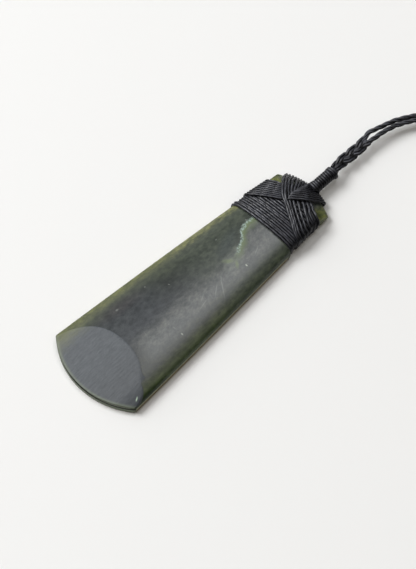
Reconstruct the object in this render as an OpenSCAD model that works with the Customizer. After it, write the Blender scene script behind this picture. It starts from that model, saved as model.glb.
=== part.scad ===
// Greenstone adze pendant lying on its back, with its thread lashing and its neck cord.
// +Y runs from the cutting edge to the butt, +Z up from the flat back.
// The origin is on the back, on the centre line, level with the corners of the cutting edge.

/* [Blade] */
// Width across the corners of the cutting edge
edge_w = 31; // [29:0.5:33]
// Width across the corners of the butt
butt_w = 19.3; // [18.5:0.1:20.5]
// Length from the corners of the cutting edge to the corners of the butt
corner_l = 78.4; // [72:0.2:86]
// How far the cutting edge bows out past its corners
edge_bow = 5.8; // [4:0.1:7]
// How far the butt bows out past its corners
butt_bow = 2.3; // [1.8:0.1:3]
// How far each long side bows out at half its length
side_bow = 0.25; // [0:0.05:0.4]
// Thickness at the crest of the front
crest_t = 5.2; // [4.8:0.1:6]
// Height of the widest line of the long sides above the back
waist_z = 0.6; // [0.4:0.1:0.9]
// Height of the blunt rim at the middle of the cutting edge
rim_t = 2.2; // [1.6:0.1:2.6]
// Depth of the rounding over the butt's upper edge
butt_drop = 3.4; // [3:0.1:3.6]
// Length of that rounding along the blade
butt_run = 9; // [6:0.5:10]
// Slope of the facet ground behind the cutting edge, in degrees
facet_deg = 10.4; // [9:0.2:12]

/* [Lashing] */
// Length of the lashing, from its lower edge up to the corners of the butt
lash_l = 16; // [15:0.2:17]
// Depth of the notch that the lashing sits in, in each long side
notch_depth = 1.1; // [0.8:0.1:1.4]
// Depth of the seat ground across the back under the lashing
seat_depth = 1.1; // [1:0.05:1.3]
// Thickness of one layer of thread
thread_t = 0.95; // [0.8:0.05:1]
// How far the thread stands out past the long sides
side_proud = 0.35; // [0.2:0.05:0.5]
// Gap between one piece and the next
gap = 0.1; // [0.05:0.05:0.15]

/* [Neck cord] */
// Diameter of the tight coil that gathers the threads at the butt
coil_d = 3.6; // [3.2:0.1:4]
// Diameter of the collar at the top of that coil
collar_d = 4.1; // [3.8:0.1:4.4]
// Width of the plait at its widest
plait_w = 3.2; // [2.8:0.1:3.4]
// Diameter of each of the two strands of the neck loop
strand_d = 1.4; // [1.2:0.05:1.4]

/* [Hidden] */
$fn = 48;

stone_colour = [0.27, 0.31, 0.27];
thread_colour = [0.15, 0.15, 0.16];

// The front's cross section is a superellipse: the first power rounds off its sides, the second its crown
side_power = 2.4;
crown_power = 3.2;
section_steps = 24;
section_thin = 0.02;
arc_sides = 180;
round_step = 0.2;
arch_share = 0.7;
heel_chamfer = 0.5;

edge_r = (pow(edge_w / 2, 2) + pow(edge_bow, 2)) / (2 * edge_bow);
butt_r = (pow(butt_w / 2, 2) + pow(butt_bow, 2)) / (2 * butt_bow);
lash_y = corner_l - lash_l;
butt_y = corner_l + butt_bow;
mid_z = 2.6;
far = 40;

// A band goes from the front to the back only this far out and this far up
side_reach = 8;
side_top = 13;

// The notch in a long side, up from the lashing's lower edge: its foot, its flat's two ends and its top
notch_up = [-0.3, 1.3, 11, 12.6];
// The ramp at the foot of the seat across the back, down from the lashing's lower edge
seat_foot = [1.4, 0.4];

// Stations along the blade where its cross section is set out
blade_stations = [-8, 15, 40, 60, corner_l + 4];
// Stations along the lashing, above its lower edge, and how far its outer surface is past the stone's sides
//   up, past
wrap_stations = [[-1, -0.6], [1.5, -0.3], [4.5, side_proud], [12, side_proud], [22, side_proud]];

// Plan outlines of the bands, in mm across from the centre line and up from the lashing's lower edge
//   across, up
wraps_front = [[-14, -0.2], [14, 0.1], [14, 1.2], [9.4, 2.8], [7.6, 3.6], [1.9, 7.1], [-1.2, 8.8],
               [-6.7, 4.9], [-10.2, 4.1], [-14, 3.4]];
wraps_back = [[-14, -0.2], [14, 0.1], [14, 1.2], [9.4, 2.8], [-10.2, 4.1], [-14, 3.4]];
upper_front = [[-14, 3.6], [-10.2, 4.3], [-6.7, 5.2], [-1.3, 9], [4.8, 13.2], [7.5, 16.8], [8, 22],
               [-1.6, 22], [-1, 18.5], [-5.5, 15], [-8.9, 12.4], [-14, 11]];
upper_back = [[-14, 3.6], [-10.2, 4.3], [-0.5, 18], [-0.5, 22], [-6.8, 22], [-6.8, 17], [-9, 12.6],
              [-14, 11]];
lower_front = [[14, 1.4], [9.4, 3], [7.6, 3.8], [1.9, 7.3], [-1.1, 9], [-3.3, 11.2], [-6.7, 15.9],
               [-7.6, 22], [-1.8, 22], [-0.5, 18.6], [6.1, 13.7], [8.9, 12.4], [14, 11]];
lower_back = [[14, 1.4], [9.4, 3], [0.5, 18], [0.5, 22], [7, 22], [7, 17], [9.2, 12.6], [14, 11]];

// The coil's profile along its axis
//   along, radius
coil_profile = [[0, 0], [0, coil_d / 2 + 0.2], [0.5, coil_d / 2], [5.6, coil_d / 2], [6, collar_d / 2],
                [7.1, collar_d / 2], [7.6, collar_d / 2 - 0.6], [7.6, 0]];
coil_at = [1.05, butt_y + thread_t + 2 * gap, 3];

// The plait's middle line past the butt, its width as a share of the widest, and its thickness
//   across, past the butt, height, width, thickness
plait_route = [[0.85, 9.1, 3.05, 0.8, 2.3], [0.5, 11, 3, 0.8, 2.1], [0.53, 13.6, 3, 0.97, 2.2],
               [0.66, 16.7, 3, 1, 2.2], [0.66, 19.8, 3, 1, 2.2], [0.47, 22.3, 3.05, 0.96, 1.9]];
plait_width = 3;
plait_thickness = 4;
plait_sides = 12;

// The two strands of the neck loop: out of the plait, side by side, then round the loop to its far point
//   across, past the butt, height
left_route = [[-0.38, 22.8, 3.05], [-0.9, 24.6, 3.1], [-0.6, 26.1, 3.1], [0.05, 28.4, 3.1], [0.75, 30.9, 3.1],
              [1.85, 33.9, 3.1], [4.45, 38.55, 3.1], [8.3, 43.2, 3], [13.5, 48.1, 2.8], [19.7, 52.5, 2.3],
              [27, 56.4, 1.7], [37, 61.5, 1.1], [55, 72, 0.75], [80, 90, 0.75], [110, 109, 0.75],
              [143, 122, 0.75], [175, 124, 0.75], [204, 114, 0.75], [226, 93, 0.75], [237, 67, 0.75],
              [238, 53.1, 0.75]];
right_route = [[1.3, 22.8, 3.05], [1.56, 25, 3.1], [1.86, 27.9, 3.1], [2.3, 30, 3.1], [3.05, 32.5, 3.1],
               [5.6, 37.4, 3.1], [9.45, 42, 3], [14.7, 46.7, 2.8], [21, 49.9, 2.3], [28.4, 51.4, 1.7],
               [37, 50.7, 1.1], [48, 45, 0.75], [62, 34, 0.75], [84, 15, 0.75], [112, -4, 0.75],
               [143, -17, 0.75], [175, -18, 0.75], [204, -8, 0.75], [226, 13, 0.75], [237, 39, 0.75],
               [238, 52.9, 0.75]];
strand_sides = 8;
route_steps = 2;

// Half the blade's width at a station
function half_w(y) =
    let (k = y / corner_l)
    edge_w / 2 * (1 - k) + butt_w / 2 * k + 4 * side_bow * k * (1 - k);

// Outline of a cross section: a flat back, a small chamfer, and the crowned front
function section(half, top, back) =
    let (rise = top - waist_z)
    concat([[-half + heel_chamfer, back], [half - heel_chamfer, back]],
           [for (k = [0 : section_steps])
               let (a = 180 * k / section_steps, c = cos(a), s = sin(a))
               [half * sign(c) * pow(abs(c), 2 / side_power), waist_z + rise * pow(abs(s), 2 / crown_power)]]);

// A thin slice of the blade, or of what is wrapped round it
module slice(y, half, top, back)
    translate([0, y, 0])
        rotate([90, 0, 0])
            linear_extrude(section_thin)
                polygon(section(half, top, back));

// What lies past an arc that bows out along +Y to a given distance, and past its rounded upper edge
module past_arc(reach, r, top, run, drop)
    difference() {
        translate([-far, reach - r, -far])
            cube([2 * far, 2 * r, 2 * far]);
        translate([0, reach - r, 0])
            rotate_extrude($fn = arc_sides)
                polygon(concat([[0, -far - 1], [r, -far - 1]],
                               [for (k = run > 0 ? [0 : round_step : 1] : [0])
                                   [r - run * k, top - drop * pow(1 - k, 2)]],
                               [[0, top + 1]]));
    }

// The blade with all its surfaces moved out by grow
module blade_body(grow)
    difference() {
        hull()
            for (y = blade_stations)
                slice(y, half_w(y) + grow, crest_t + grow, -grow);
        past_arc(butt_y + grow, butt_r + grow, crest_t + grow, butt_run, butt_drop);
        mirror([0, 1, 0])
            past_arc(edge_bow + grow, edge_r + grow, far, 0, 0);
        notches(grow);
        seat(grow);
    }

// Plan outline of the notch in the right side, and its mirror image
module notches(grow)
    for (turn = [0, 1])
        mirror([turn, 0, 0])
            translate([0, 0, -far])
                linear_extrude(2 * far)
                    polygon([[half_w(lash_y) + grow, lash_y + notch_up[0] + grow],
                             [half_w(lash_y) - notch_depth + grow, lash_y + notch_up[1] + grow],
                             [half_w(lash_y + notch_up[2]) - notch_depth + grow, lash_y + notch_up[2] - grow],
                             [half_w(lash_y + notch_up[3]) + grow, lash_y + notch_up[3] - grow],
                             [far, lash_y + notch_up[3]],
                             [far, lash_y]]);

// The seat across the back, with a ramp at its lower edge
module seat(grow)
    translate([-far, 0, 0])
        rotate([90, 0, 90])
            linear_extrude(2 * far)
                polygon([[lash_y - seat_foot[0] + grow, -1], [lash_y - seat_foot[1] + grow, seat_depth - grow],
                         [butt_y + far, seat_depth - grow], [butt_y + far, -1]]);

// The outer form of the lashing, with a number of layers of thread on the front
module wrapped_body(layers, grow)
    difference() {
        hull()
            for (s = wrap_stations)
                slice(lash_y + s[0], half_w(lash_y + s[0]) + s[1] + grow,
                      crest_t + layers * thread_t + gap + grow, gap / 2 - grow);
        past_arc(butt_y + thread_t + gap + grow, arch_share * butt_r, crest_t + layers * thread_t + gap + grow,
                 butt_run, butt_drop);
    }

// A plan outline as a prism from one height to another
module prism(outline, low, high, grow = 0)
    translate([0, lash_y, low])
        linear_extrude(high - low)
            offset(delta = grow)
                polygon(outline);

// Where a band runs: one outline on the front, another on the back, joined round one side
module band_run(front, back, turn) {
    prism(front, mid_z + gap, far);
    prism(back, -far, mid_z - gap);
    intersection() {
        prism(back, mid_z - 2 * gap, mid_z + 2 * gap);
        mirror([turn, 0, 0])
            translate([side_reach, lash_y, 0])
                cube([far, side_top, far]);
    }
}

// A tube swept along a route by rings, each a level ellipse square to the route
function ring(p, dir, w, t, sides) =
    let (across = cross(dir, [0, 0, 1]) / norm(cross(dir, [0, 0, 1])), up = cross(across, dir))
    [for (k = [0 : sides - 1])
        let (a = 360 * k / sides)
        p + across * cos(a) * w / 2 + up * sin(a) * t / 2];

function unit(v) = v / norm(v);

module sweep(path, w, t, sides) {
    last = len(path) - 1;
    rings = [for (i = [0 : last])
        each ring(path[i], unit(path[min(i + 1, last)] - path[max(i - 1, 0)]), w[i], t[i], sides)];
    walls = [for (i = [0 : last - 1], k = [0 : sides - 1])
        let (a = i * sides + k, b = i * sides + (k + 1) % sides)
        each [[a, b, a + sides], [b, b + sides, a + sides]]];
    first_cap = [for (k = [sides - 1 : -1 : 0]) k];
    last_cap = [for (k = [0 : sides - 1]) last * sides + k];
    polyhedron(rings, concat(walls, [first_cap, last_cap]));
}

// A smooth curve through the points of a route
function bend(a, b, c, d, u) =
    0.5 * ((2 * b) + (c - a) * u + (2 * a - 5 * b + 4 * c - d) * u * u + (3 * b - a - 3 * c + d) * u * u * u);

function smooth(route, steps) =
    let (last = len(route) - 1)
    concat([for (i = [0 : last - 1], s = [0 : steps - 1])
               bend(route[max(i - 1, 0)], route[i], route[i + 1], route[min(i + 2, last)], s / steps)],
           [route[last]]);

module strand(route)
    let (path = smooth(route, route_steps))
        translate([0, butt_y, 0])
            sweep(path, [for (p = path) strand_d], [for (p = path) strand_d], strand_sides);

// The stone: a flat back, a crowned front, and a facet ground down to the blunt cutting edge
module blade()
    color(stone_colour)
        difference() {
            blade_body(0);
            translate([-far, -edge_bow, rim_t])
                rotate([facet_deg, 0, 0])
                    translate([0, -far, 0])
                        cube([2 * far, 2 * far, far]);
        }

// The level turns at the foot of the lashing
module wrap_band()
    color(thread_colour)
        difference() {
            intersection() {
                wrapped_body(1, 0);
                union() {
                    prism(wraps_front, mid_z, far);
                    prism(wraps_back, -far, mid_z);
                }
            }
            blade_body(gap);
        }

// The turns that lie lower where the bands cross: from the top left down to the right side
module cross_band_lower()
    color(thread_colour)
        difference() {
            intersection() {
                wrapped_body(1, 0);
                band_run(lower_front, lower_back, 0);
            }
            blade_body(gap);
        }

// The turns that lie on top where the bands cross: from the left side up to the top right
module cross_band_upper()
    color(thread_colour)
        difference() {
            union() {
                intersection() {
                    wrapped_body(1, 0);
                    band_run(upper_front, upper_back, 1);
                }
                intersection() {
                    wrapped_body(2, 0);
                    prism(upper_front, mid_z + gap, far);
                    prism(lower_front, mid_z + gap, far, thread_t);
                }
            }
            intersection() {
                wrapped_body(1, gap);
                prism(lower_front, mid_z, far, gap);
            }
            blade_body(gap);
        }

// The tight coil of thread at the butt, with a collar where it is tied off
module neck_coil()
    color(thread_colour)
        translate(coil_at)
            rotate([-90, 0, 0])
                rotate_extrude()
                    polygon([for (row = coil_profile) [row[1], row[0]]]);

// The plait of three pairs of threads
module neck_plait()
    color(thread_colour)
        let (rows = smooth(plait_route, route_steps))
            translate([0, butt_y, 0])
                sweep([for (row = rows) [row[0], row[1], row[2]]],
                      [for (row = rows) row[plait_width] * plait_w],
                      [for (row = rows) row[plait_thickness]], plait_sides);

module neck_strand_left()
    color(thread_colour)
        strand(left_route);

module neck_strand_right()
    color(thread_colour)
        strand(right_route);

blade();
wrap_band();
cross_band_lower();
cross_band_upper();
neck_coil();
neck_plait();
neck_strand_left();
neck_strand_right();
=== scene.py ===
"""A greenstone adze pendant on its lashed neck cord, lying on a pale table."""
import bpy, bmesh
import numpy as np
from functools import lru_cache
from math import sin, cos, tan, pi, radians, sqrt, hypot
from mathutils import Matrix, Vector


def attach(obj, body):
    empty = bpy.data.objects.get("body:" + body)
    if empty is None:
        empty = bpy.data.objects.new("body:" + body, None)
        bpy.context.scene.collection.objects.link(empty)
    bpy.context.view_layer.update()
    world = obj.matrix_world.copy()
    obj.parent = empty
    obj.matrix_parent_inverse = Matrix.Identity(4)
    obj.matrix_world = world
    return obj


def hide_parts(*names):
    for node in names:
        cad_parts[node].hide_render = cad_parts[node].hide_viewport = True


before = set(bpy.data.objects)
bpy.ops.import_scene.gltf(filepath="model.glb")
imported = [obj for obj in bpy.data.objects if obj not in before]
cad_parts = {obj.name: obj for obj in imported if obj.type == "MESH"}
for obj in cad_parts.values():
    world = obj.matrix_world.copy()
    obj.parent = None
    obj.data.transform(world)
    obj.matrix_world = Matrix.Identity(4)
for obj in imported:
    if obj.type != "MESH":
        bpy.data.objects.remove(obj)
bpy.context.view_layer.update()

# The view
# The pendant is looked down on from beyond its cutting edge, a little to the right of it,
# with a long lens, so the adze runs up to the right and its neck cord leaves at the right.
view = bpy.data.cameras.new("view")
view.lens = 130.8
view.sensor_width = 36.0
view.sensor_fit = "AUTO"
view.clip_start = 0.05
view.clip_end = 10.0
viewer = bpy.data.objects.new("view", view)
bpy.context.scene.collection.objects.link(viewer)
viewer.location = (0.19641, -0.15148, 0.48814)
looking = Vector((-0.3489, 0.3429, -0.8721))
viewer.rotation_euler = looking.to_track_quat("-Z", "Y").to_euler()
bpy.context.scene.camera = viewer

# The neck strands
# Two long strands run round the neck and meet behind it. Each is three black waxed threads
# laid up together, which come out of the plait and lie on the table.
MM = 0.001               # sizes are in millimetres until they reach a mesh
TOP = 80.7               # the butt's end, from which the cord's points are measured along Y
strand_lay = 8.1         # one full turn of the three threads
strand_thread = 0.43     # radius of one thread
strand_spread = 0.33     # from the strand's middle to the middle of each thread
strand_step = 0.42       # between the points along it
left_way = [(-0.1, 21.2, 3), (-0.3, 22.6, 3.05), (-0.85, 24.4, 3.1), (-0.6, 26.1, 3.1), (0.07, 28.4, 3.1),
            (0.78, 30.9, 3.1), (1.88, 33.9, 3.1), (4.48, 38.5, 3.1), (8.35, 43.15, 3), (13.55, 48.05, 2.8),
            (19.7, 52.5, 2.3), (27, 56.4, 1.7), (37, 61.5, 1.1), (55, 72, 0.75), (80, 90, 0.75),
            (110, 109, 0.75), (143, 122, 0.75), (175, 124, 0.75), (204, 114, 0.75), (226, 93, 0.75),
            (237, 67, 0.75), (238, 53.1, 0.75)]
right_way = [(1.0, 21.2, 3), (1.25, 22.6, 3.05), (1.53, 25, 3.1), (1.82, 27.9, 3.1), (2.27, 30, 3.1),
             (3.02, 32.55, 3.1), (5.57, 37.45, 3.1), (9.4, 42.05, 3), (14.65, 46.75, 2.8), (21, 49.9, 2.3),
             (28.4, 51.4, 1.7), (37, 50.7, 1.1), (48, 45, 0.75), (62, 34, 0.75), (84, 15, 0.75),
             (112, -4, 0.75), (143, -17, 0.75), (175, -18, 0.75), (204, -8, 0.75), (226, 13, 0.75),
             (237, 39, 0.75), (238, 52.9, 0.75)]


def smooth_way(points, step):
    """A soft curve through the points, with a point at every step, and how far along each one is."""
    p = np.array(points, float)
    p = np.vstack([2 * p[0] - p[1], p, 2 * p[-1] - p[-2]])
    out = []
    for a, b, c, d in zip(p, p[1:], p[2:], p[3:]):
        n = max(2, int(np.linalg.norm((c - b)[:3]) / step * 3))
        for t in np.arange(n) / n:
            out.append(0.5 * (2 * b + (c - a) * t + (2 * a - 5 * b + 4 * c - d) * t * t
                              + (3 * b - a - 3 * c + d) * t ** 3))
    out = np.array(out + [p[-2]])
    run = np.r_[0, np.cumsum(np.linalg.norm(np.diff(out[:, :3], axis=0), axis=1))]
    marks = np.linspace(0, run[-1], max(2, int(round(run[-1] / step))) + 1)
    return np.stack([np.interp(marks, run, out[:, k]) for k in range(out.shape[1])], 1), marks


def side_frames(way, closed=False):
    """Two directions square to the way at each point, carried along it without a twist."""
    ahead = np.gradient(way, axis=0)
    if closed:
        ahead[0] = ahead[-1] = way[1] - way[-2]
    ahead /= np.linalg.norm(ahead, axis=1)[:, None]
    upright = abs(ahead[0][2]) > 0.9
    first = np.cross(ahead[0], (0, 1.0, 0) if upright else (0, 0, 1.0))
    us = [first / np.linalg.norm(first)]
    for a in ahead[1:]:
        u = us[-1] - a * (us[-1] @ a)
        us.append(u / np.linalg.norm(u))
    us = np.array(us)
    vs = np.cross(ahead, us)
    if closed:
        slip = np.arctan2(us[-1] @ vs[0], us[-1] @ us[0])
        turn = -slip * np.linspace(0, 1, len(way))[:, None]
        us, vs = us * np.cos(turn) + vs * np.sin(turn), vs * np.cos(turn) - us * np.sin(turn)
    return us, vs


def run_thread(bm, lay, way, radius, sides=8, closed=False, start=0.0):
    """One thread along a way in mm. Its map holds the turn round it and the length along it."""
    us, vs = side_frames(way, closed)
    run = start + np.r_[0, np.cumsum(np.linalg.norm(np.diff(way, axis=0), axis=1))]
    thick = np.broadcast_to(np.asarray(radius, float), (len(way),))
    angles = [2 * pi * k / sides for k in range(sides)]
    rings = []
    for p, u, v, r in zip(way[:-1] if closed else way, us, vs, thick):
        rings.append([bm.verts.new(Vector(p + r * (u * cos(a) + v * sin(a))) * MM) for a in angles])
    if closed:
        rings.append(rings[0])
    for i, (low, high) in enumerate(zip(rings, rings[1:])):
        for k in range(sides):
            j = (k + 1) % sides
            face = bm.faces.new((low[k], low[j], high[j], high[k]))
            face.smooth = True
            corners = ((k, run[i]), (k + 1, run[i]), (k + 1, run[i + 1]), (k, run[i + 1]))
            for loop, (turn, along) in zip(face.loops, corners):
                loop[lay].uv = (turn / sides, along)
    if not closed:
        for ring, first in ((rings[0], True), (rings[-1], False)):
            cap = bm.faces.new(list(reversed(ring)) if first else ring)
            for loop in cap.loops:
                loop[lay].uv = (0.5, run[0] if first else run[-1])


def new_piece(name, bm, material):
    """The finished mesh as a piece of the pendant, which moves with it."""
    bmesh.ops.recalc_face_normals(bm, faces=bm.faces)
    mesh = bpy.data.meshes.new(name)
    bm.to_mesh(mesh)
    bm.free()
    mesh.materials.append(material)
    piece = bpy.data.objects.new(name, mesh)
    bpy.context.scene.collection.objects.link(piece)
    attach(piece, "root")
    return piece


def put(tree, kind, **settings):
    """A node with its own settings, and its sockets set or joined by name or number."""
    made = tree.nodes.new(kind)
    sockets = settings.pop("sockets", {})
    for key, value in settings.items():
        setattr(made, key, value)
    for key, value in sockets.items():
        if isinstance(value, bpy.types.NodeSocket):
            tree.links.new(value, made.inputs[key])
        else:
            made.inputs[key].default_value = value
    return made


def sums(tree, operation, a, b=0.0, c=0.0, clamp=False):
    """One step of arithmetic in a material."""
    made = put(tree, "ShaderNodeMath", operation=operation, use_clamp=clamp, sockets={0: a, 1: b, 2: c})
    return made.outputs[0]


def times(tree, a, b):
    """One value times another, which also keeps a mask inside another mask."""
    return sums(tree, "MULTIPLY", a, b)


def ramp(tree, value, stops):
    """Colours along a value. A stop with one number is a grey."""
    made = put(tree, "ShaderNodeValToRGB", sockets={0: value})
    while len(made.color_ramp.elements) < len(stops):
        made.color_ramp.elements.new(0.5)
    for element, (spot, colour) in zip(made.color_ramp.elements, stops):
        element.position = spot
        element.color = (*colour, 1) if isinstance(colour, tuple) else (colour, colour, colour, 1)
    return made.outputs[0]


def blend(tree, share, under, over, how="MIX"):
    """One colour laid over another by a share or a mask."""
    made = put(tree, "ShaderNodeMix", data_type="RGBA", blend_type=how, sockets={0: share, 6: under, 7: over})
    return made.outputs[2]


# Black waxed thread of three plies: a dark fibre with a greyish bloom of wax on it, with painted
# shade where it turns sideways and down into the furrow beside the next turn, and between its plies.
ply_lay = 2.6            # one full turn of the plies
waxed = bpy.data.materials.new("waxed_thread")
waxed.use_nodes = True
tree = waxed.node_tree
gloss = tree.nodes["Principled BSDF"]
lay_map = put(tree, "ShaderNodeUVMap", uv_map="lay")
around = put(tree, "ShaderNodeSeparateXYZ", sockets={0: lay_map.outputs[0]})
turns = sums(tree, "MULTIPLY_ADD", around.outputs[1], -1 / ply_lay, times(tree, around.outputs[0], 3))
ply = sums(tree, "ABSOLUTE", sums(tree, "SINE", times(tree, turns, pi)))
place = put(tree, "ShaderNodeTexCoord").outputs["Object"]
bloom = put(tree, "ShaderNodeTexNoise", sockets={"Vector": place, "Scale": 900, "Detail": 4}).outputs[0]
patch = put(tree, "ShaderNodeTexNoise", sockets={"Vector": place, "Scale": 160, "Detail": 2}).outputs[0]
wax = times(tree, sums(tree, "ADD", bloom, patch), 0.5)
tint = ramp(tree, wax, [(0.36, (0.016, 0.017, 0.022)), (0.62, (0.082, 0.086, 0.104))])
# painted shade: darker and less shiny where the thread faces sideways or down, as in the furrows between
# turns, and darker in the grooves between its plies
facing = put(tree, "ShaderNodeSeparateXYZ", sockets={0: put(tree, "ShaderNodeNewGeometry").outputs["Normal"]})
painted_furrow_shade = ramp(tree, facing.outputs[2], [(0.0, 0.35), (0.3, 0.28), (0.6, 0.04), (0.82, 0.38), (0.98, 1)])
painted_groove_shade = blend(tree, 1.0, painted_furrow_shade, ramp(tree, ply, [(0.0, 0.2), (0.45, 1)]), "MULTIPLY")
tree.links.new(blend(tree, 1.0, tint, painted_groove_shade, "MULTIPLY"), gloss.inputs["Base Color"])
tree.links.new(sums(tree, "MULTIPLY_ADD", bloom, 0.3, 0.22), gloss.inputs["Roughness"])
tree.links.new(sums(tree, "MULTIPLY_ADD", painted_furrow_shade, 0.5, 0.08), gloss.inputs["Specular IOR Level"])
gloss.inputs["Sheen Weight"].default_value = 0.08
gloss.inputs["Sheen Roughness"].default_value = 0.4
gloss.inputs["Sheen Tint"].default_value = (0.75, 0.75, 0.9, 1)
relief = sums(tree, "MULTIPLY_ADD", bloom, 0.35, ply)
bump = put(tree, "ShaderNodeBump", sockets={"Height": relief, "Distance": 0.00008, "Strength": 0.85})
tree.links.new(bump.outputs[0], gloss.inputs["Normal"])

for name, way, first_turn in (("left", left_way, 0.3), ("right", right_way, 1.4)):
    middle, run = smooth_way([(x, y + TOP, z) for x, y, z in way], strand_step)
    us, vs = side_frames(middle)
    bm = bmesh.new()
    lay = bm.loops.layers.uv.new("lay")
    turn = (2 * pi * run / strand_lay + first_turn)[:, None]
    for third in (0, 2 * pi / 3, 4 * pi / 3):
        aside = strand_spread * (us * np.cos(turn + third) + vs * np.sin(turn + third))
        run_thread(bm, lay, middle + aside, strand_thread, 6)
    strand = new_piece("strand_" + name, bm, waxed)
    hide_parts("neck_strand_" + name)

# The blade
# The adze is one piece of dark nephrite: a flat back, a crowned front, a broad facet ground
# at its cutting edge with a blunt rim, and sides and back cut in at the butt for the lashing.
EDGE = 15.5              # half the width between the cutting edge's corners
BUTT = 9.65              # half the width between the butt's corners
LONG = 78.4              # from the cutting edge's corners to the butt's
EDGE_BULGE = 5.8         # how far the cutting edge curves out past its corners
BUTT_BULGE = TOP - LONG  # and the butt past its own
CREST = 5.2              # height of the crown
WAIST = 0.6              # height of the side line, where the stone is widest
RIM = 2.2                # height of the blunt rim
FACET = tan(radians(10.4))           # slope of the ground facet
FACET_END = 14.0         # up to where the mesh has closer rows, a little past the facet's top
CURL = 0.033             # how fast the facet falls away at its right end
CURL_FROM = 10.0         # and from where across
BUTT_DIP = 3.4           # how far the crown comes down to the butt's end
BUTT_RUN = 9.0           # and over what length
LASH = 62.4              # where the lashing starts
LASHED = 12.6            # length of the notches for it
NOTCH = 1.1              # how deep they are let into the sides
SEAT = 1.1               # and into the back
EASE = 1.6               # length of the slope at each end of a notch
HEEL = 0.5               # how far the back's edge is drawn in
RIM_ROUND = 0.35         # radius that softens the rim's upper edge
BUTT_ROUND = 0.3         # and the butt's
BACK_ROUND = 0.25        # and the back's
MESH = {"x_segments": 96, "y_segments": 150, "size": 1}      # the grid of the front and of the back
# radii of the cutting edge's arc and the butt's, to a hundredth, and how far up their centres lie
EDGE_R = round((EDGE ** 2 + EDGE_BULGE ** 2) / (2 * EDGE_BULGE), 2)
BUTT_R = round((BUTT ** 2 + BUTT_BULGE ** 2) / (2 * BUTT_BULGE), 2)
EDGE_Y = EDGE_R - EDGE_BULGE
BUTT_Y = TOP - BUTT_R


def half_width(y):
    """Half the stone's width at a height up the blade. The sides swell a little at mid length."""
    k = y / LONG
    return EDGE * (1 - k) + BUTT * k + k * (1 - k)


def edge_y(x):
    """The cutting edge's arc."""
    return EDGE_Y - sqrt(EDGE_R ** 2 - x * x)


def butt_y(x):
    """The butt's arc."""
    return BUTT_Y + sqrt(BUTT_R ** 2 - x * x)


def soft_min(a, b, soft):
    """The lower of two heights, with the crease between them softened."""
    k = max(0.0, soft - abs(a - b)) / soft
    return min(a, b) - soft * k * k / 4


def notch_in(y):
    """How deep the sides are let in for the lashing."""
    return NOTCH * max(0.0, min(1.0, (y - LASH + 0.3) / EASE, (LASH + LASHED - y) / EASE))


def seat_at(y):
    """How deep the back is let in for the lashing."""
    return SEAT * max(0.0, min(1.0, y - LASH + 1.4))


def rounded(inset, radius):
    """How far a softened edge falls away at a distance in from it."""
    return radius - sqrt(radius ** 2 - max(0.0, radius - inset) ** 2)


def insets(x, y):
    """The distances in from the cutting edge's arc and the butt's, or BUTT_RUN where they are far."""
    return (max(0.0, EDGE_R - hypot(x, y - EDGE_Y)) if y < 12 else BUTT_RUN,
            max(0.0, BUTT_R - hypot(x, y - BUTT_Y)) if y > 60 else BUTT_RUN)


def front(c, y):
    """The front surface: c runs from -1 at the left side line to 1 at the right one."""
    wide = half_width(y)
    x = c * wide
    z = WAIST + (CREST - WAIST) * max(0.0, 1 - abs(c) ** 2.4) ** (1 / 3.2)
    limit = wide - notch_in(y)
    x = max(-limit, min(limit, x))
    ground = RIM + (y + EDGE_BULGE) * FACET - CURL * max(0.0, x - CURL_FROM) ** 2
    from_edge, from_butt = insets(x, y)
    z = soft_min(z, ground, 0.05) - rounded(from_edge, RIM_ROUND)
    z = min(z, CREST - BUTT_DIP * max(0.0, 1 - from_butt / BUTT_RUN) ** 2) - rounded(from_butt, BUTT_ROUND)
    return x, max(z, seat_at(y) + 0.02)


def run_of(c, part):
    """The distance up the blade at a share of the way from the cutting edge to the butt."""
    low, high = 0.0, LONG
    for _ in range(12):
        low, high = edge_y(c * half_width(low)), butt_y(c * half_width(high))
    rows = (low, low + 0.5, FACET_END, high - 0.4, high)
    return float(np.interp(part, (0, 0.05, 0.42, 0.97, 1), rows))


def on_stone(v):
    """Where a point of the flat grid comes to lie on the front, with closer columns at the sides."""
    turn = v.co.x * pi / 2
    c = (1 if turn > 0 else -1) * abs(sin(turn)) ** (1 / 1.2)
    y = run_of(c, (v.co.y + 1) / 2)
    x, z = front(c, y)
    return x, y, z


bm = bmesh.new()
bmesh.ops.create_grid(bm, **MESH)
for v in bm.verts:
    v.co = Vector(on_stone(v)) * MM
top_rim = [e for e in bm.edges if e.is_boundary]
back = bmesh.ops.create_grid(bm, **MESH)["verts"]
for v in back:
    x, y, z = on_stone(v)
    z = seat_at(y)
    if z == 0:
        heel = half_width(y) - HEEL
        z = rounded(min(insets(x, y)), BACK_ROUND)
        x = max(-heel, min(heel, x))
    v.co = Vector((x, y, z)) * MM
bottom_rim = [e for e in bm.edges if e.is_boundary and e not in set(top_rim)]
bmesh.ops.bridge_loops(bm, edges=top_rim + bottom_rim)
for f in bm.faces:
    f.smooth = True

# Polished nephrite: dark grey-green with drifting cloud along the grain, olive at the thin left
# edge and deep green at the right, a pale healed vein near the lashing, and a matt ground facet.
# Some light and shade is painted in as well: darker green at the right side, a sheen on the paler
# grey, and highlights and shade at the rim, the facet's lower edge and the foot of the sides.
nephrite = bpy.data.materials.new("greenstone")
nephrite.use_nodes = True
tree = nephrite.node_tree
gloss = tree.nodes["Principled BSDF"]
place = put(tree, "ShaderNodeTexCoord").outputs["Object"]
mm = put(tree, "ShaderNodeMapping", sockets={"Vector": place, "Scale": (1000, 1000, 1000)}).outputs[0]
px, py, pz = put(tree, "ShaderNodeSeparateXYZ", sockets={0: mm}).outputs
flat = put(tree, "ShaderNodeCombineXYZ", sockets={0: px, 1: py}).outputs[0]


def minus(tree, a, b):
    """One value less another."""
    return sums(tree, "SUBTRACT", a, b)


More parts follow.
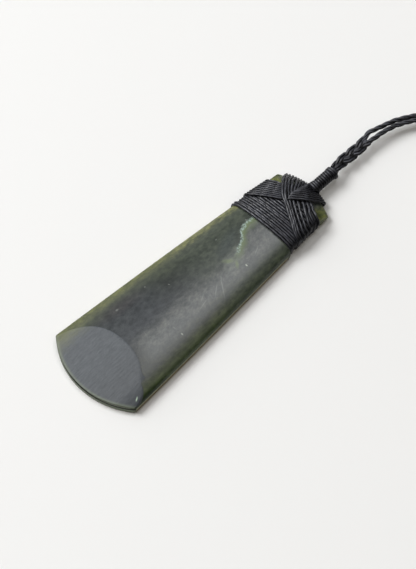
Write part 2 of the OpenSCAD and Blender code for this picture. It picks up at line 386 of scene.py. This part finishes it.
def between(tree, value, low, high, start=0.0, end=1.0):
    """A soft step from start to end while the value goes from low to high."""
    return put(tree, "ShaderNodeMapRange", interpolation_type="SMOOTHSTEP",
               sockets={0: value, 1: low, 2: high, 3: start, 4: end}).outputs[0]


def cloudy(tree, where, scale, detail=3.0, stretch=(1, 1, 1), rough=0.5):
    """Drifting cloud, with so many features to a millimetre."""
    at = put(tree, "ShaderNodeMapping", sockets={"Vector": where, "Scale": stretch}).outputs[0]
    return put(tree, "ShaderNodeTexNoise", sockets={
        "Vector": at, "Scale": scale, "Detail": detail, "Roughness": rough}).outputs[0]


def patch_at(tree, x, y, long, wide, lean=0.0, whole=0.2):
    """A soft oval mask at a spot on the plan. Its long way leans so many degrees from +X, and it
    is whole up to a share of the way out."""
    at = put(tree, "ShaderNodeMapping", vector_type="TEXTURE", sockets={
        "Vector": flat, "Location": (x, y, 0), "Rotation": (0, 0, radians(lean)),
        "Scale": (long / 2, wide / 2, 1)}).outputs[0]
    far = put(tree, "ShaderNodeVectorMath", operation="LENGTH", sockets={0: at}).outputs[1]
    return between(tree, far, whole, 1, 1, 0)


def all_of(tree, masks):
    """The strongest of several masks."""
    strongest = masks[0]
    for mask in masks[1:]:
        strongest = sums(tree, "MAXIMUM", strongest, mask)
    return strongest


# where a spot lies across the stone, from -1 at its left side to 1 at its right, with the bands
# of colour made to wander a little; the half width is worked out as half_width does
up = sums(tree, "DIVIDE", py, LONG)
wide = minus(tree, sums(tree, "MULTIPLY_ADD", up, BUTT - EDGE + 1, EDGE), times(tree, up, up))
drift = cloudy(tree, mm, 0.10, 4, (1, 0.5, 1))
fine = cloudy(tree, mm, 0.9, 5, (1, 0.55, 1), 0.65)
speckle = cloudy(tree, mm, 3.2, 2)
across = sums(tree, "DIVIDE", px, wide)
side = sums(tree, "MULTIPLY_ADD", minus(tree, drift, 0.5), 0.16, across)
# the colours across the stone; the darkest green right at the right side line is partly the stone's deep
# green and partly painted shade
body = ramp(tree, sums(tree, "MULTIPLY_ADD", side, 0.5, 0.5), [
    (0.0, (0.085, 0.097, 0.036)), (0.055, (0.088, 0.097, 0.038)), (0.13, (0.030, 0.040, 0.020)),
    (0.27, (0.018, 0.024, 0.018)), (0.50, (0.026, 0.031, 0.033)), (0.62, (0.024, 0.027, 0.028)),
    (0.88, (0.044, 0.050, 0.041)), (0.95, (0.068, 0.086, 0.046)), (0.98, (0.026, 0.046, 0.009)),
    (1.0, (0.010, 0.022, 0.005))])

# the deep blue-grey cloud in the lower half
near_middle = between(tree, sums(tree, "ABSOLUTE", sums(tree, "ADD", side, 0.22)), 0.25, 0.6, 1, 0)
deep = times(tree, between(tree, py, 34, 20), near_middle)
body = blend(tree, times(tree, deep, 0.7), body, (0.030, 0.036, 0.044, 1))

# the greener, lighter tone of the upper half, and an olive strip along its left side
upper = times(tree, between(tree, py, 30, 46), between(tree, side, -0.87, -0.68))
body = blend(tree, times(tree, upper, 0.7), body, (0.048, 0.061, 0.044, 1))
strip = times(tree, between(tree, py, 32, 46), between(tree, side, -0.66, -0.86))
strip = times(tree, strip, ramp(tree, fine, [(0.35, 0.2), (0.6, 0.9)]))
body = blend(tree, strip, body, (0.150, 0.158, 0.062, 1))

# a purple-grey cloud low on the left, and a dark bluish one left of the vein
plum = patch_at(tree, -8.5, 17, 22, 7, 84, 0.1)
body = blend(tree, times(tree, plum, 0.6), body, (0.026, 0.023, 0.026, 1))
shade = patch_at(tree, -2.2, 51, 17, 6, 112, 0.1)
body = blend(tree, times(tree, shade, 0.55), body, (0.026, 0.038, 0.040, 1))

# the green that shows at the butt past the lashing, and the grain's mottling, laid on further down
butt_tint = ramp(tree, fine, [(0.35, (0.038, 0.053, 0.012)), (0.6, (0.112, 0.128, 0.036))])
body = blend(tree, between(tree, py, 72.5, 75.5), body, butt_tint)
mottle = ramp(tree, fine, [(0.34, (0.58, 0.62, 0.62)), (0.50, (1, 1, 1)), (0.66, (1.50, 1.45, 1.38))])

# The vein's line across the plan, given as (y, x) points and held in a curve that runs from 0 to
# 1 both ways. Carried on down the stone, it parts the dark green on its left from paler grey.
vein_from = 5.0          # where the line starts up the blade
vein_long = 60.0         # how far up it goes
vein_aside = 10.0        # how far the curve reaches to each side
course = ((5.0, 2.0), (20.0, 2.8), (32.0, 1.8), (40.0, 1.2), (46.0, 1.2), (50.5, 1.8), (53.0, 0.5),
          (55.2, -0.7), (57.7, -2.9), (61.5, -3.3), (65.0, -3.6))
line = put(tree, "ShaderNodeFloatCurve", sockets={
    1: sums(tree, "DIVIDE", minus(tree, py, vein_from), vein_long)})
points = line.mapping.curves[0].points
spots = [((y - vein_from) / vein_long, (x + vein_aside) / (2 * vein_aside)) for y, x in course]
points[0].location = spots[0]
points[-1].location = spots[-1]
for spot in spots[1:-1]:
    points.new(*spot)
line.mapping.update()
beside = minus(tree, px, sums(tree, "MULTIPLY_ADD", line.outputs[0], 2 * vein_aside, -vein_aside))
wander = sums(tree, "MULTIPLY_ADD", minus(tree, fine, 0.5), 2.6, beside)

# the paler grey right of that line, rippled, partly the stone's own paler grey and partly a painted
# sheen, and a lighter patch of painted sheen round the vein's lower end
turned = put(tree, "ShaderNodeMapping", sockets={"Vector": mm, "Rotation": (0, 0, radians(38))}).outputs[0]
ripple = cloudy(tree, turned, 0.6, 4, (0.7, 1.5, 1), 0.7)
right_of = between(tree, sums(tree, "MULTIPLY_ADD", minus(tree, drift, 0.5), 7, wander), -2.6, 3.6)
paler_stone_and_sheen = times(tree, right_of, times(tree, between(tree, side, 0.46, 0.80, 1, 0), between(tree, py, 9, 15)))
body = blend(tree, paler_stone_and_sheen, body, ramp(tree, ripple, [
    (0.32, (0.080, 0.087, 0.087)), (0.5, (0.098, 0.106, 0.105)), (0.68, (0.132, 0.140, 0.136))]))
painted_sheen_patch = patch_at(tree, 2.8, 48.5, 13, 6.5, 118, 0.1)
body = blend(tree, times(tree, painted_sheen_patch, 0.6), body, (0.150, 0.168, 0.152, 1))
body = blend(tree, 1.0, body, mottle, "MULTIPLY")

# the vein itself: a yellow-green halo on its right, a short branch, and pale beads in its line
on_line = between(tree, sums(tree, "ABSOLUTE", wander), 0.2, 0.75, 1, 0)
in_vein = times(tree, between(tree, py, 49.5, 53), on_line)
halo = times(tree, between(tree, py, 47, 54), times(
    tree, between(tree, wander, -0.4, 0.3), between(tree, wander, 0.4, 2.8, 1, 0)))
body = blend(tree, times(tree, halo, 0.7), body, (0.150, 0.200, 0.090, 1))
branch = all_of(tree, [patch_at(tree, 1.8, 47.3, 4.8, 1.9, 52, 0.1),
                       patch_at(tree, 4.2, 48.4, 3.6, 1.4, -38, 0.1)])
branch = times(tree, branch, sums(tree, "MULTIPLY", fine, 1.5, clamp=True))
body = blend(tree, branch, body, (0.165, 0.205, 0.110, 1))
bead = between(tree, speckle, 0.42, 0.62)
beads = times(tree, in_vein, sums(tree, "MULTIPLY_ADD", bead, 0.75, 0.12))
body = blend(tree, beads, body, (0.36, 0.47, 0.43, 1))

# chips, pale scratches and light dots, on the front only: x, y, length, width, lean and whole part
chips = [(6.1, 50.1, 1.0, 0.55, 0, 0.3), (8.9, 23.2, 1.1, 0.4)]
scratches = [(4.8, 55.2, 4.2, 0.5, 115), (6.3, 40.8, 8.6, 0.42, 146), (5.9, 38.8, 6.0, 0.38, 128),
             (4.4, 42.2, 4.0, 0.3, 139), (6.2, 22.9, 1.6, 0.35, 8), (6.6, 33.2, 5.5, 0.3, 104),
             (5.0, 34.5, 4.0, 0.3, 120)]
dots = [(-8.4, 15.8, 0.9, 1.4, 0, 0.1), (-4.0, 60.0, 0.9, 0.7), (-5.3, 49.8, 0.5, 0.8),
        (-4.2, 31.0, 0.9, 0.5, 30), (-8.3, 26.0, 0.6, 0.6)]
on_front_face = between(tree, pz, 1.6, 2.2)
marks = all_of(tree, [patch_at(tree, *chip) for chip in chips])
faint = all_of(tree, [patch_at(tree, *mark) for mark in scratches + dots])
body = blend(tree, times(tree, times(tree, marks, on_front_face), 0.85), body, (0.50, 0.54, 0.46, 1))
body = blend(tree, times(tree, times(tree, faint, on_front_face), 0.32), body, (0.36, 0.38, 0.35, 1))

# the steep foot of the sides: a painted highlight line at its shoulder, and painted warm brown
# shade under it, standing in for the brown shadow beside the stone
foot = times(tree, between(tree, pz, 1.95, 1.84), between(tree, pz, 0.02, 0.15))
foot = times(tree, foot, between(tree, py, 62, 60))
painted_foot_highlight_and_shade = ramp(tree, sums(tree, "DIVIDE", pz, 2.0), [
    (0.20, (0.110, 0.085, 0.042)), (0.50, (0.165, 0.128, 0.068)), (0.72, (0.140, 0.112, 0.058)),
    (0.78, (0.270, 0.285, 0.200))])
body = blend(tree, foot, body, painted_foot_highlight_and_shade)

# the facet: the part that lies in its plane, taken more loosely and cut to an oval at its right end
past = sums(tree, "MAXIMUM", minus(tree, px, CURL_FROM), 0.0)
ground = minus(tree, sums(tree, "MULTIPLY_ADD", py, FACET, RIM + EDGE_BULGE * FACET),
               times(tree, times(tree, past, past), CURL))
off_plane = sums(tree, "ABSOLUTE", minus(tree, ground, pz))
off_plane = minus(tree, off_plane, between(tree, px, 9.0, 13.5, 0, 0.5))
facet = times(tree, between(tree, off_plane, 0.02, 0.07, 1, 0), between(tree, py, 12.5, 11.5))
ahead = sums(tree, "POWER", sums(tree, "DIVIDE", minus(tree, py, 1.0), 4.6), 2.0)
to_right = sums(tree, "MAXIMUM", minus(tree, px, 11.2), 0.0)
beyond = sums(tree, "POWER", sums(tree, "DIVIDE", to_right, 4.0), 2.0)
corner = sums(tree, "MULTIPLY_ADD", ahead, between(tree, px, 10.8, 11.8), beyond)
facet = times(tree, facet, between(tree, corner, 0.92, 1.0, 1, 0))
from_centre = put(tree, "ShaderNodeVectorMath", operation="DISTANCE", sockets={0: flat, 1: (0, EDGE_Y, 0)})
inset = minus(tree, EDGE_R, from_centre.outputs[1])

# it is matt blue-grey from grinding and olive at its left end, with a painted highlight as a pale
# green border along its lower edge, and a painted glint at its right end
grind = cloudy(tree, mm, 0.7, 3, (3.0, 0.5, 1))
matt = ramp(tree, sums(tree, "MULTIPLY_ADD", grind, 0.35, times(tree, fine, 0.65)), [
    (0.35, (0.044, 0.053, 0.063)), (0.65, (0.076, 0.088, 0.101))])
matt = blend(tree, between(tree, px, -3, 10, 0, 0.22), matt, (0.02, 0.02, 0.02, 1))
left_end = between(tree, sums(tree, "MULTIPLY_ADD", fine, 4.0, px), -13.5, -6.5, 1, 0)
matt = blend(tree, left_end, matt, (0.150, 0.162, 0.080, 1))
painted_border_highlight = times(tree, between(tree, inset, 0.25, 1.1, 1, 0), facet)
matt = blend(tree, times(tree, painted_border_highlight, 0.55), matt, (0.170, 0.200, 0.140, 1))
glint = times(tree, patch_at(tree, 13.8, 1.9, 1.9, 0.5, 122), facet)
matt = blend(tree, glint, matt, (0.40, 0.52, 0.40, 1))
body = blend(tree, facet, body, matt)

# the blunt rim: a painted dark line under the facet's edge for the dark reflection and shade on its
# rounding, then grey-green down to the back, lightened as painted light from the table, with
# painted brown shade at its very foot
on_rim = times(tree, between(tree, inset, 0.10, 0.30, 1, 0), between(tree, py, 8, 6))
painted_rim_light_and_shade = ramp(tree, sums(tree, "DIVIDE", pz, 2.4), [
    (0.04, (0.050, 0.040, 0.018)), (0.14, (0.150, 0.170, 0.120)), (0.60, (0.160, 0.185, 0.140)),
    (0.67, (0.006, 0.009, 0.004)), (0.88, (0.006, 0.009, 0.004)), (0.94, (0.080, 0.095, 0.060))])
painted_rim_dark_line = times(tree, on_rim, times(tree, between(tree, pz, 1.45, 1.6), between(tree, pz, 2.08, 2.2, 1, 0)))
tree.links.new(blend(tree, on_rim, body, painted_rim_light_and_shade), gloss.inputs["Base Color"])

# a satin shine, weaker along the sides, at their foot with its painted highlight and shade, and in
# the rim's painted dark line; the facet and the left edge are rougher than the rest
satin = between(tree, side, -0.78, -0.92, 0.5, 0.28)
dull = all_of(tree, [foot, painted_rim_dark_line, between(tree, side, 0.92, 1.0, 0, 0.6)])
tree.links.new(times(tree, satin, sums(tree, "MULTIPLY_ADD", dull, -0.92, 1.0)),
               gloss.inputs["Specular IOR Level"])
rough = sums(tree, "MULTIPLY_ADD", fine, 0.22, 0.24)
rough = sums(tree, "ADD", rough, between(tree, side, -0.86, -0.95, 0, 0.3))
rough = put(tree, "ShaderNodeMix", data_type="FLOAT", sockets={0: facet, 2: rough, 3: 0.55})
tree.links.new(rough.outputs[0], gloss.inputs["Roughness"])
gloss.inputs["IOR"].default_value = 1.6
relief = sums(tree, "ADD", times(tree, fine, 0.6), times(tree, grind, facet))
bump = put(tree, "ShaderNodeBump", sockets={"Height": relief, "Distance": 0.00012, "Strength": 0.5})
tree.links.new(bump.outputs[0], gloss.inputs["Normal"])
blade = new_piece("adze", bm, nephrite)
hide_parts("blade")

# The lashing
# One long waxed thread binds the butt. Level turns go on first, then turns from each side
# over the opposite end of the butt, laid over and under each other where they cross.
THREAD = 0.42            # radius of one thread
GIRTH = 14               # about how far it is from the crest to a side's foot


@lru_cache(maxsize=None)
def section_at(fifth):
    """The stone's section at so many fifths of a millimetre up it, from the crest to the right
    side's foot: the share of the girth, x and z of its points."""
    cs = np.sin(np.linspace(0, pi / 2, 60)) ** (1 / 1.2)
    section = np.array([front(c, fifth / 5) for c in cs])
    run = np.r_[0, np.cumsum(np.linalg.norm(np.diff(section, axis=0), axis=1))]
    return run / run[-1], section[:, 0], section[:, 1]


def skin(g, y):
    """A point on the stone: g is 0 at the crest, 1 at the right foot, 2 at the back's middle."""
    side = 1 if g >= 0 else -1
    share, xs, zs = section_at(round(y * 5))
    if abs(g) <= 1:
        return np.array([side * np.interp(abs(g), share, xs), y, np.interp(abs(g), share, zs)])
    return np.array([side * xs[-1] * (2 - abs(g)), y, SEAT])


def skin_out(g, y):
    """The direction away from the stone there, softened over its sharp edges."""
    across = skin(g + 0.03, y) - skin(g - 0.03, y)
    along = skin(g, y + 0.4) - skin(g, y - 0.4)
    out = np.cross(across, along)
    return out / np.linalg.norm(out)


def girth_of(x, y):
    """The share of the girth at a place across the front."""
    share, xs, _ = section_at(round(y * 5))
    return (1 if x >= 0 else -1) * float(np.interp(abs(x), xs, share))


def over_butt(x, lift):
    """The way round the butt's end at x, from under the back to the front."""
    y = butt_y(x)
    radial = np.array([x, y - BUTT_Y, 0]) / BUTT_R
    rise = np.array([0, 0, 1.0])
    top = front(x / half_width(y), y)[1]
    way = []
    for outward, height, turn, off in ((-0.6, SEAT, -90, 0), (0, SEAT, -60, 0), (0, SEAT, -20, lift),
                                       (0, top, 10, lift), (0, top, 35, lift)):
        at = np.array([x, y, 0]) + radial * outward + rise * height
        way.append(at + (radial * cos(radians(turn)) + rise * sin(radians(turn))) * (THREAD + off))
    return way


def on_front(points, round_side):
    """The way over the front through (x, y, lift) points and round the side through (g, y, lift)
    ones, straight in the stone's own skin."""
    keys = [(girth_of(x, y), y, lift) for x, y, lift in points] + round_side
    dense, _ = smooth_way([(g * GIRTH, y, lift) for g, y, lift in keys], 0.5)
    return [skin(g / GIRTH, y) + skin_out(g / GIRTH, y) * (THREAD + lift) for g, y, lift in dense]


def under_back(x, y, end_x):
    """The way across the back, from the side at (x, y) to the butt's end at end_x."""
    return [np.array([bx, by, SEAT - THREAD]) for bx, by in
            zip(np.linspace(x, end_x, 20), np.linspace(y, butt_y(end_x) - 0.5, 20))]


bm = bmesh.new()
lay = bm.loops.layers.uv.new("lay")
# each level turn's place up the stone, and how far it has sunk between its neighbours
rows = [(62.4, 0.0), (63.2, 0.0), (63.85, 0.3), (64.45, 0.0), (65.2, 0.0), (65.95, 0.0), (66.7, 0.0),
        (67.35, 0.3), (67.95, 0.0), (68.75, 0.0), (69.5, 0.0), (70.35, 0.0), (71.15, 0.0), (72.0, 0.0),
        (72.8, 0.0)]
row_slant = 0.6          # how much higher a turn is at the right side than at the crest
bitten_in = (0.4, 0.15)  # how far the first two turns bite into the sides' corners
all_round = np.arange(0, 400, 3) / 100 - 2
for k, (y, low) in enumerate(rows):
    ring = []
    for g in all_round:
        level = y + row_slant * (g if abs(g) < 1 else (2 - abs(g)) * (1 if g > 0 else -1))
        bite = bitten_in[k] * max(0.0, 1 - abs(abs(g) - 1) / 0.3) if k < len(bitten_in) else 0.0
        ring.append(skin(g, level) + skin_out(g, level) * (THREAD - max(low, bite)))
    run_thread(bm, lay, np.array(ring + ring[:1]), THREAD, 8, closed=True, start=k * 7.3)
band = new_piece("level_turns", bm, waxed)
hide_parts("wrap_band")

# The turns that start at the butt's left end, cross to the right side and return behind. Each
# has its place on the butt's end, its (x, y, lift) points and its height at the side's foot.
bm = bmesh.new()
lay = bm.loops.layers.uv.new("lay")
lower_turns = [
    (-7.6, [(-6.6, 77.1, 0.8), (-5.2, 75.2, 1.2), (-3.6, 73.5, 1.6), (-2.0, 72.1, 1.75), (-0.4, 71.1, 1.6),
            (1.5, 70.1, 1.2), (3.5, 68.9, 0.95), (5.5, 67.8, 0.8), (7.1, 66.8, 0.7), (8.4, 66.1, 0.6)], 65.2),
    (-6.8, [(-5.8, 77.3, 0.8), (-4.45, 75.5, 1.2), (-2.9, 73.8, 1.6), (-1.4, 72.4, 1.8), (0.1, 71.4, 1.6),
            (2.0, 70.5, 1.25), (3.9, 69.35, 1.05), (5.8, 68.25, 0.9), (7.4, 67.2, 0.75), (8.6, 66.5, 0.6)],
     65.9),
    (-5.9, [(-5.0, 77.6, 0.8), (-3.4, 75.5, 1.1), (-0.6, 72.9, 1.0), (1.1, 71.85, 0.8), (3.3, 70.45, 0.8),
            (5.8, 68.9, 0.7), (8.9, 67.1, 0.6)], 66.4),
    (-5.05, [(-4.2, 78.0, 0.8), (-2.7, 76.2, 1.0), (-0.6, 74.0, 0.7), (2.0, 72.45, 0.7), (4.3, 71.0, 0.7),
             (8.9, 68.4, 0.6)], 67.6),
    (-4.2, [(-3.3, 78.7, 0.9), (-2.1, 77.1, 1.0), (-0.6, 75.1, 0.6), (2.8, 73.3, 0.6), (5.3, 71.7, 0.6),
            (9.0, 69.6, 0.5)], 68.7),
    (-3.4, [(-2.6, 79.2, 0.9), (-1.8, 78.0, 0.9), (-0.5, 76.2, 0.5), (3.7, 74.2, 0.5), (6.3, 72.6, 0.5),
            (9.2, 70.8, 0.4)], 69.8),
    (-2.6, [(-2.0, 79.7, 0.9), (-1.4, 78.8, 0.8), (-0.5, 77.3, 0.4), (4.5, 75.1, 0.4), (7.3, 73.3, 0.4),
            (9.2, 72.2, 0.3)], 71.2),
    (-1.8, [(-1.3, 80.0, 0.8), (-1.0, 79.4, 0.7), (-0.4, 78.4, 0.3), (5.1, 75.9, 0.3), (6.9, 74.9, 0.3),
            (9.2, 73.6, 0.2)], 72.5),
    (-1.0, [(-0.7, 80.2, 0.7), (-0.5, 79.8, 0.6), (-0.1, 79.3, 0.2), (4.1, 74.65, 0.0), (6.8, 72.95, 0.0),
            (9.2, 71.5, 0.0)], 70.5),
    (-0.3, [(-0.1, 80.3, 0.5), (0.1, 80.0, 0.4), (0.6, 79.5, 0.1), (4.8, 75.5, 0.0), (6.9, 74.2, 0.0),
            (9.2, 72.9, 0.0)], 71.9)]
for k, (start, points, foot) in enumerate(lower_turns):
    way = over_butt(start, 0.3 + 0.05 * k)
    way += on_front(points, [(0.95, foot, 0.2), (1.05, foot - 0.5, 0.0)])
    way += under_back(9.0, foot - 0.2, 0.6 + 0.8 * k)
    way, _ = smooth_way(way, 0.6)
    run_thread(bm, lay, way, THREAD, 8, start=k * 11.9)
band = new_piece("lower_cross_turns", bm, waxed)
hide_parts("cross_band_lower")

# The turns that start at the left side, cross to the butt's right end and return behind, spread
# evenly from a first one to a last. Near the crest they duck under the first of the lower turns.
upper_thread = 0.36      # this thread is drawn tighter
first_turn = [(3.7, 75.6, 1.3), (2.0, 73.9, 1.4), (0.1, 72.2, 1.3), (-0.8, 71.6, 0), (-1.7, 71.0, 0.8),
              (-5.2, 68.7, 0.8), (-9.0, 66.4, 0.6)]
last_turn = [(-0.2, 80.3, 0.7), (-0.35, 80.1, 0.9), (-0.5, 79.7, 0.9), (-2.4, 78.0, 0), (-4.8, 74.8, 0.5),
             (-6.4, 74.3, 0.4), (-8.2, 73.7, 0.3)]
bm = bmesh.new()
lay = bm.loops.layers.uv.new("lay")
for k in range(9):
    t = k / 8
    points = [tuple(p + (q - p) * t for p, q in zip(a, b)) for a, b in zip(first_turn, last_turn)]
    ducked = 0.55 if k < 4 else 0.15
    points[3] = (*points[3][:2], ducked)
    foot = 65.4 + 7.6 * t
    way = over_butt(5.7 - 5.9 * t, 0.5 + 0.3 * t)
    way += on_front(points, [(-0.95, foot, 0.2), (-1.05, foot - 0.3, 0.0)])
    way += under_back(-9.0, foot, -1.6 - 5.4 * t)
    way, _ = smooth_way(way, 0.6)
    run_thread(bm, lay, way, upper_thread, 8, start=k * 13.7)
band = new_piece("upper_cross_turns", bm, waxed)
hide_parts("cross_band_upper")

# The neck coil
# The thread's last turns are whipped tightly round the ends that leave the butt, so that
# they stand out as a stiff stem, and a raised collar of two turns finishes it.
stem_x = 1.05            # the stem's middle, across
stem_z = 3.0             # and up
coil_thread = 0.41       # radius of the thread
coil_round = 1.42        # from the stem's middle to the thread's
coil_flare = 0.25        # how much wider the turns are next to the butt
coil_y = 81.6            # where the turns start
coil_pitch = 0.78        # from one turn to the next
collar_round = 1.66      # from the collar's middle to the thread's
collar_y = 88.0          # where it starts
collar_pitch = 0.62      # from one of its turns to the next
bm = bmesh.new()
lay = bm.loops.layers.uv.new("lay")
core = np.array([(stem_x, y, stem_z) for y in np.linspace(80.9, 90.0, 20)])
run_thread(bm, lay, core, np.r_[1.2, np.full(17, 1.3), 1.2, 1.0], 16)
turns = np.linspace(-0.9, 8, 250)
reach = coil_round + coil_flare * np.clip(1 - turns, 0, 1)
wrap = [stem_x + reach * np.cos(2 * pi * turns), coil_y + coil_pitch * turns,
        stem_z + reach * np.sin(2 * pi * turns)]
run_thread(bm, lay, np.stack(wrap, 1), coil_thread, 8)
# the collar sits a little askew on the stem
turns = np.linspace(0, 1.9, 60)
wrap = [stem_x + 0.12 + collar_round * np.cos(2 * pi * turns),
        collar_y + collar_pitch * turns + 0.2 * np.cos(2 * pi * turns),
        stem_z - 0.05 + collar_round * np.sin(2 * pi * turns)]
run_thread(bm, lay, np.stack(wrap, 1), coil_thread, 8)
stem = new_piece("whipped_stem", bm, waxed)
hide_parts("neck_coil")

# The neck plait
# Past the stem the six threads are plaited in three pairs, each pair passing over the
# middle in turn, down to where they part three and three into the strands.
plait_lay = 11.6         # one full swing of a pair
plait_wide = 3.6         # its width
plait_thread = 0.49      # radius of one thread
pair_half = 0.4          # from a pair's middle to each of its threads
plait_lean = radians(18)             # how far it is rolled, with its right side down
# its way past the butt: x, y and z, then the share of its width that it has there, and its depth
plait_way = [(0.95, 8.9, 3.05, 0.8, 2.3), (0.5, 11, 3, 0.86, 2.2), (0.53, 13.6, 3, 1, 2.3),
             (0.66, 16.7, 3, 1.02, 2.3), (0.66, 19.8, 3, 1, 2.2), (0.47, 22.6, 3.05, 0.96, 1.9)]
bm = bmesh.new()
lay = bm.loops.layers.uv.new("lay")
middle, run = smooth_way([(x, y + TOP, z, w, d) for x, y, z, w, d in plait_way], 0.2)
for k in range(3):
    swing = 2 * pi * run / plait_lay + 2 * pi * k / 3
    wide = plait_wide * middle[:, 3] / 2 - 1.8 * plait_thread
    deep = 0.8 * (middle[:, 4] / 2 - plait_thread)
    across = wide * np.clip(1.25 * np.sin(swing), -1, 1)
    rise = deep * np.sin(2 * swing)
    slope = np.gradient(across, run)
    for aside in (-pair_half, pair_half):
        a = across + aside / np.sqrt(1 + slope ** 2)
        offset = [a * cos(plait_lean) + rise * sin(plait_lean), -aside * slope / np.sqrt(1 + slope ** 2),
                  rise * cos(plait_lean) - a * sin(plait_lean)]
        run_thread(bm, lay, middle[:, :3] + np.stack(offset, 1), plait_thread, 8, start=k * 5 + aside)
# a plain core keeps the light from showing through between the pairs
run_thread(bm, lay, middle[::3, :3], 0.7 * middle[::3, 3], 10)
plait = new_piece("plait", bm, waxed)
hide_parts("neck_plait")

# The table and the light
# A plain pale table top. Soft lamps at the left throw the shadows to the right, a small one
# overhead gives the polished stone its satin band, and a weak warm one fills the shadows.
bm = bmesh.new()
bmesh.ops.create_grid(bm, x_segments=2, y_segments=2, size=3)
mesh = bpy.data.meshes.new("table")
bm.to_mesh(mesh)
bm.free()
table = bpy.data.objects.new("table", mesh)
bpy.context.scene.collection.objects.link(table)
table.location = (0, 0, -0.05 * MM)
pale_table = bpy.data.materials.new("pale_table")
pale_table.use_nodes = True
top = pale_table.node_tree.nodes["Principled BSDF"]
top.inputs["Base Color"].default_value = (0.865, 0.865, 0.86, 1)
top.inputs["Roughness"].default_value = 0.75
mesh.materials.append(pale_table)

adze_middle = Vector((0.0, 0.045, 0))


def lamp(name, towards, distance, size, power, colour):
    """A soft oblong light in a direction from the adze's middle."""
    light = bpy.data.lights.new(name, "AREA")
    light.shape = "RECTANGLE"
    light.energy = power
    light.color = colour
    light.size, light.size_y = size
    holder = bpy.data.objects.new(name, light)
    bpy.context.scene.collection.objects.link(holder)
    away = Vector(towards).normalized()
    holder.location = adze_middle + away * distance
    holder.rotation_euler = away.to_track_quat("Z", "Y").to_euler()


lamp("key", (-0.8, -0.38, 1.0), 2.0, (1.0, 1.0), 32.0, (0.99, 0.995, 1.0))
lamp("low", (-2.5, -0.6, 1.0), 2.0, (2.8, 2.2), 26.5, (1.0, 1.0, 1.0))
lamp("overhead", (-0.1, 0.36, 1.0), 2.0, (0.9, 0.4), 6.6, (0.97, 0.985, 1.0))
lamp("fill", (0.6, 0.0, 1.0), 2.0, (1.5, 1.5), 4.4, (1.0, 0.92, 0.80))
studio = bpy.data.worlds.new("studio")
bpy.context.scene.world = studio
studio.use_nodes = True
backdrop = studio.node_tree.nodes["Background"]
backdrop.inputs["Color"].default_value = (1.0, 0.95, 0.87, 1)
backdrop.inputs["Strength"].default_value = 0.10
bpy.context.scene.view_settings.view_transform = "Standard"
